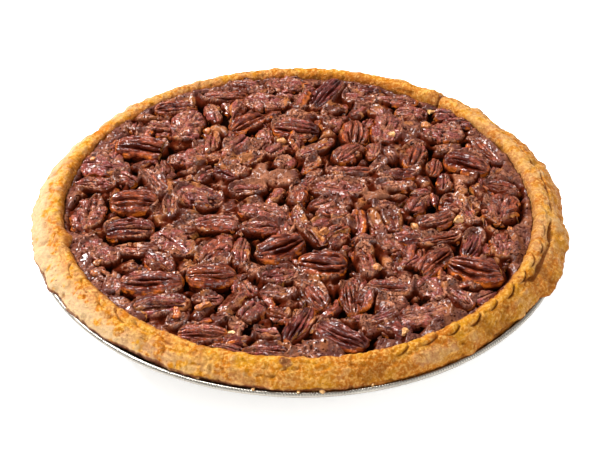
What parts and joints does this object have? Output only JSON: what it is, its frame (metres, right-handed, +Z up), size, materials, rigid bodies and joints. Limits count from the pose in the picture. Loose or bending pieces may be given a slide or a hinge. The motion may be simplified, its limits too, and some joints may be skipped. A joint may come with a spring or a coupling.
{
  "type": "pecan pie",
  "caption": "Whole round pecan pie in its fluted foil tin: crimped golden pastry rim, set custard level with it, and pecan halves and broken pieces crowding the top.",
  "frame": {"origin": "centre of the foil tin's flat underside", "axes": "+Z up, from the tin's base to the nuts; +Y away from the side that the pie is seen from, +X to the right"},
  "size_m": [0.251, 0.249, 0.0434],
  "materials": {
    "foil": "bright pressed aluminium foil",
    "pastry": "dry baked shortcrust, golden and mottled",
    "custard": "set sugar custard with a thin shine",
    "pecan": "roasted pecan with a thin syrup glaze"
  },
  "bodies": {
    "root": {"foil_tin": "foil", "pastry_crust": "pastry", "custard_filling": "custard", "pecan_01": "pecan", "pecan_02": "pecan", "pecan_03": "pecan", "pecan_04": "pecan", "pecan_05": "pecan", "pecan_06": "pecan", "pecan_07": "pecan", "pecan_08": "pecan", "pecan_09": "pecan", "pecan_10": "pecan", "pecan_11": "pecan", "pecan_12": "pecan", "pecan_13": "pecan", "pecan_14": "pecan", "pecan_15": "pecan", "pecan_16": "pecan", "pecan_17": "pecan", "pecan_18": "pecan", "pecan_19": "pecan", "pecan_20": "pecan", "pecan_21": "pecan", "pecan_22": "pecan", "pecan_23": "pecan", "pecan_24": "pecan", "pecan_25": "pecan", "pecan_26": "pecan", "pecan_27": "pecan", "pecan_28": "pecan", "pecan_29": "pecan", "pecan_30": "pecan", "pecan_31": "pecan", "pecan_32": "pecan", "pecan_33": "pecan", "pecan_34": "pecan", "pecan_35": "pecan", "pecan_36": "pecan", "pecan_37": "pecan", "pecan_38": "pecan", "pecan_39": "pecan", "pecan_40": "pecan", "pecan_41": "pecan", "pecan_42": "pecan", "pecan_43": "pecan", "pecan_44": "pecan", "pecan_45": "pecan", "pecan_46": "pecan", "pecan_47": "pecan", "pecan_48": "pecan", "pecan_49": "pecan", "pecan_50": "pecan", "pecan_51": "pecan", "pecan_52": "pecan", "pecan_53": "pecan", "pecan_54": "pecan", "pecan_55": "pecan", "pecan_56": "pecan"}
  },
  "joints": []
}
